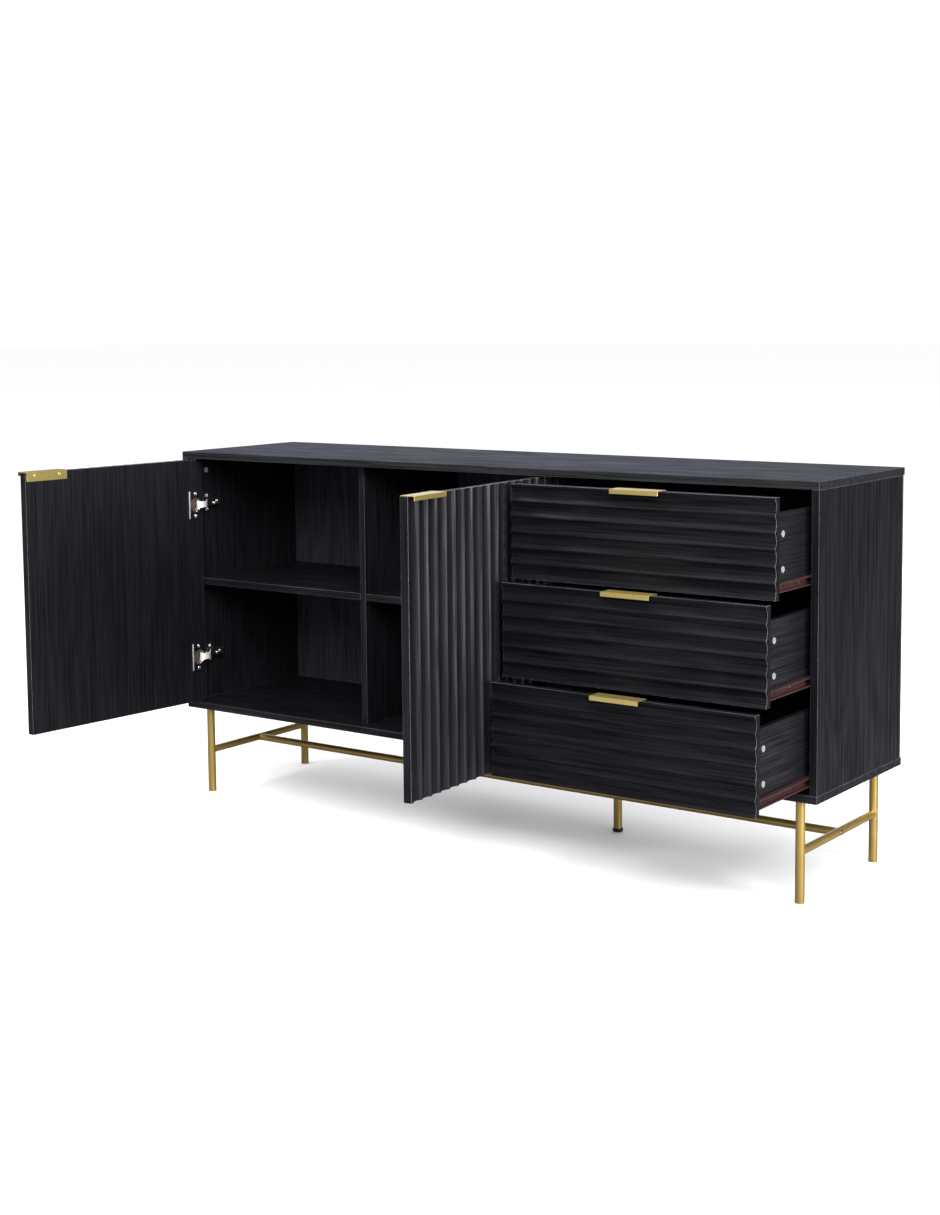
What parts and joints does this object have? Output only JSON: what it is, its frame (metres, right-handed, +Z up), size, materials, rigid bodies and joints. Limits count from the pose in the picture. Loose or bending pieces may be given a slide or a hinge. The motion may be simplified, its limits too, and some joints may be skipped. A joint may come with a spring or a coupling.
{
  "type": "sideboard buffet",
  "caption": "Low sideboard on a slim tubular base, with fluted hinged doors over shelved bays beside a stack of fluted drawers, standing open.",
  "frame": {"origin": "on the floor, under the middle of the sideboard as it stands with its doors and drawers open", "axes": "+X to the right along the width, +Y from the front to the back, +Z up"},
  "size_m": [1.6331, 0.8458, 0.795],
  "materials": {
    "black_laminate": "satin black wood-grain laminate on board",
    "gold_metal": "satin gold",
    "nickel_steel": "bright nickel plate",
    "runner_steel": "dark reddish brown coating",
    "black_plastic": "moulded black"
  },
  "bodies": {
    "case": {"top_panel": "black_laminate", "bottom_panel": "black_laminate", "side_panel_left": "black_laminate", "side_panel_right": "black_laminate", "partition_centre": "black_laminate", "partition_drawers": "black_laminate", "back_panel": "black_laminate", "shelf_left": "black_laminate", "shelf_right": "black_laminate", "leg_front_left": "gold_metal", "leg_rear_left": "gold_metal", "leg_front_right": "gold_metal", "leg_rear_right": "gold_metal", "cross_tube_left": "gold_metal", "cross_tube_right": "gold_metal", "stretcher": "gold_metal", "support_leg": "gold_metal", "support_foot": "black_plastic", "hinge_arm_left_upper": "nickel_steel", "hinge_arm_left_lower": "nickel_steel", "hinge_arm_right_upper": "nickel_steel", "hinge_arm_right_lower": "nickel_steel", "case_rail_top_left": "runner_steel", "case_rail_top_right": "runner_steel", "case_rail_middle_left": "runner_steel", "case_rail_middle_right": "runner_steel", "case_rail_bottom_left": "runner_steel", "case_rail_bottom_right": "runner_steel"},
    "door_left": {"door_left": "black_laminate", "handle_door_left": "gold_metal", "hinge_cup_left_upper": "nickel_steel", "hinge_cup_left_lower": "nickel_steel"},
    "door_right": {"door_right": "black_laminate", "handle_door_right": "gold_metal", "hinge_cup_right_upper": "nickel_steel", "hinge_cup_right_lower": "nickel_steel"},
    "drawer_top": {"drawer_front_top": "black_laminate", "handle_drawer_top": "gold_metal", "drawer_side_top_left": "black_laminate", "drawer_side_top_right": "black_laminate", "drawer_back_top": "black_laminate", "drawer_bottom_top": "black_laminate", "drawer_rail_top_left": "runner_steel", "drawer_rail_top_right": "runner_steel"},
    "drawer_middle": {"drawer_front_middle": "black_laminate", "handle_drawer_middle": "gold_metal", "drawer_side_middle_left": "black_laminate", "drawer_side_middle_right": "black_laminate", "drawer_back_middle": "black_laminate", "drawer_bottom_middle": "black_laminate", "drawer_rail_middle_left": "runner_steel", "drawer_rail_middle_right": "runner_steel"},
    "drawer_bottom": {"drawer_front_bottom": "black_laminate", "handle_drawer_bottom": "gold_metal", "drawer_side_bottom_left": "black_laminate", "drawer_side_bottom_right": "black_laminate", "drawer_back_bottom": "black_laminate", "drawer_bottom_bottom": "black_laminate", "drawer_rail_bottom_left": "runner_steel", "drawer_rail_bottom_right": "runner_steel"}
  },
  "joints": [
    {"name": "door_left_hinge", "type": "hinge", "parent": "case", "child": "door_left", "pos_m": [-0.75346, 0.0525, 0.497], "axis": [0, 0, 1], "range_deg": [0, 95]},
    {"name": "door_right_hinge", "type": "hinge", "parent": "case", "child": "door_right", "pos_m": [0.20146, 0.0525, 0.497], "axis": [0, 0, -1], "range_deg": [0, 93]},
    {"name": "drawer_top_slide", "type": "slide", "parent": "case", "child": "drawer_top", "axis": [0, -1, 0], "range_m": [-0.142, 0.108]},
    {"name": "drawer_middle_slide", "type": "slide", "parent": "case", "child": "drawer_middle", "axis": [0, -1, 0], "range_m": [-0.174, 0.076]},
    {"name": "drawer_bottom_slide", "type": "slide", "parent": "case", "child": "drawer_bottom", "axis": [0, -1, 0], "range_m": [-0.213, 0.037]}
  ]
}
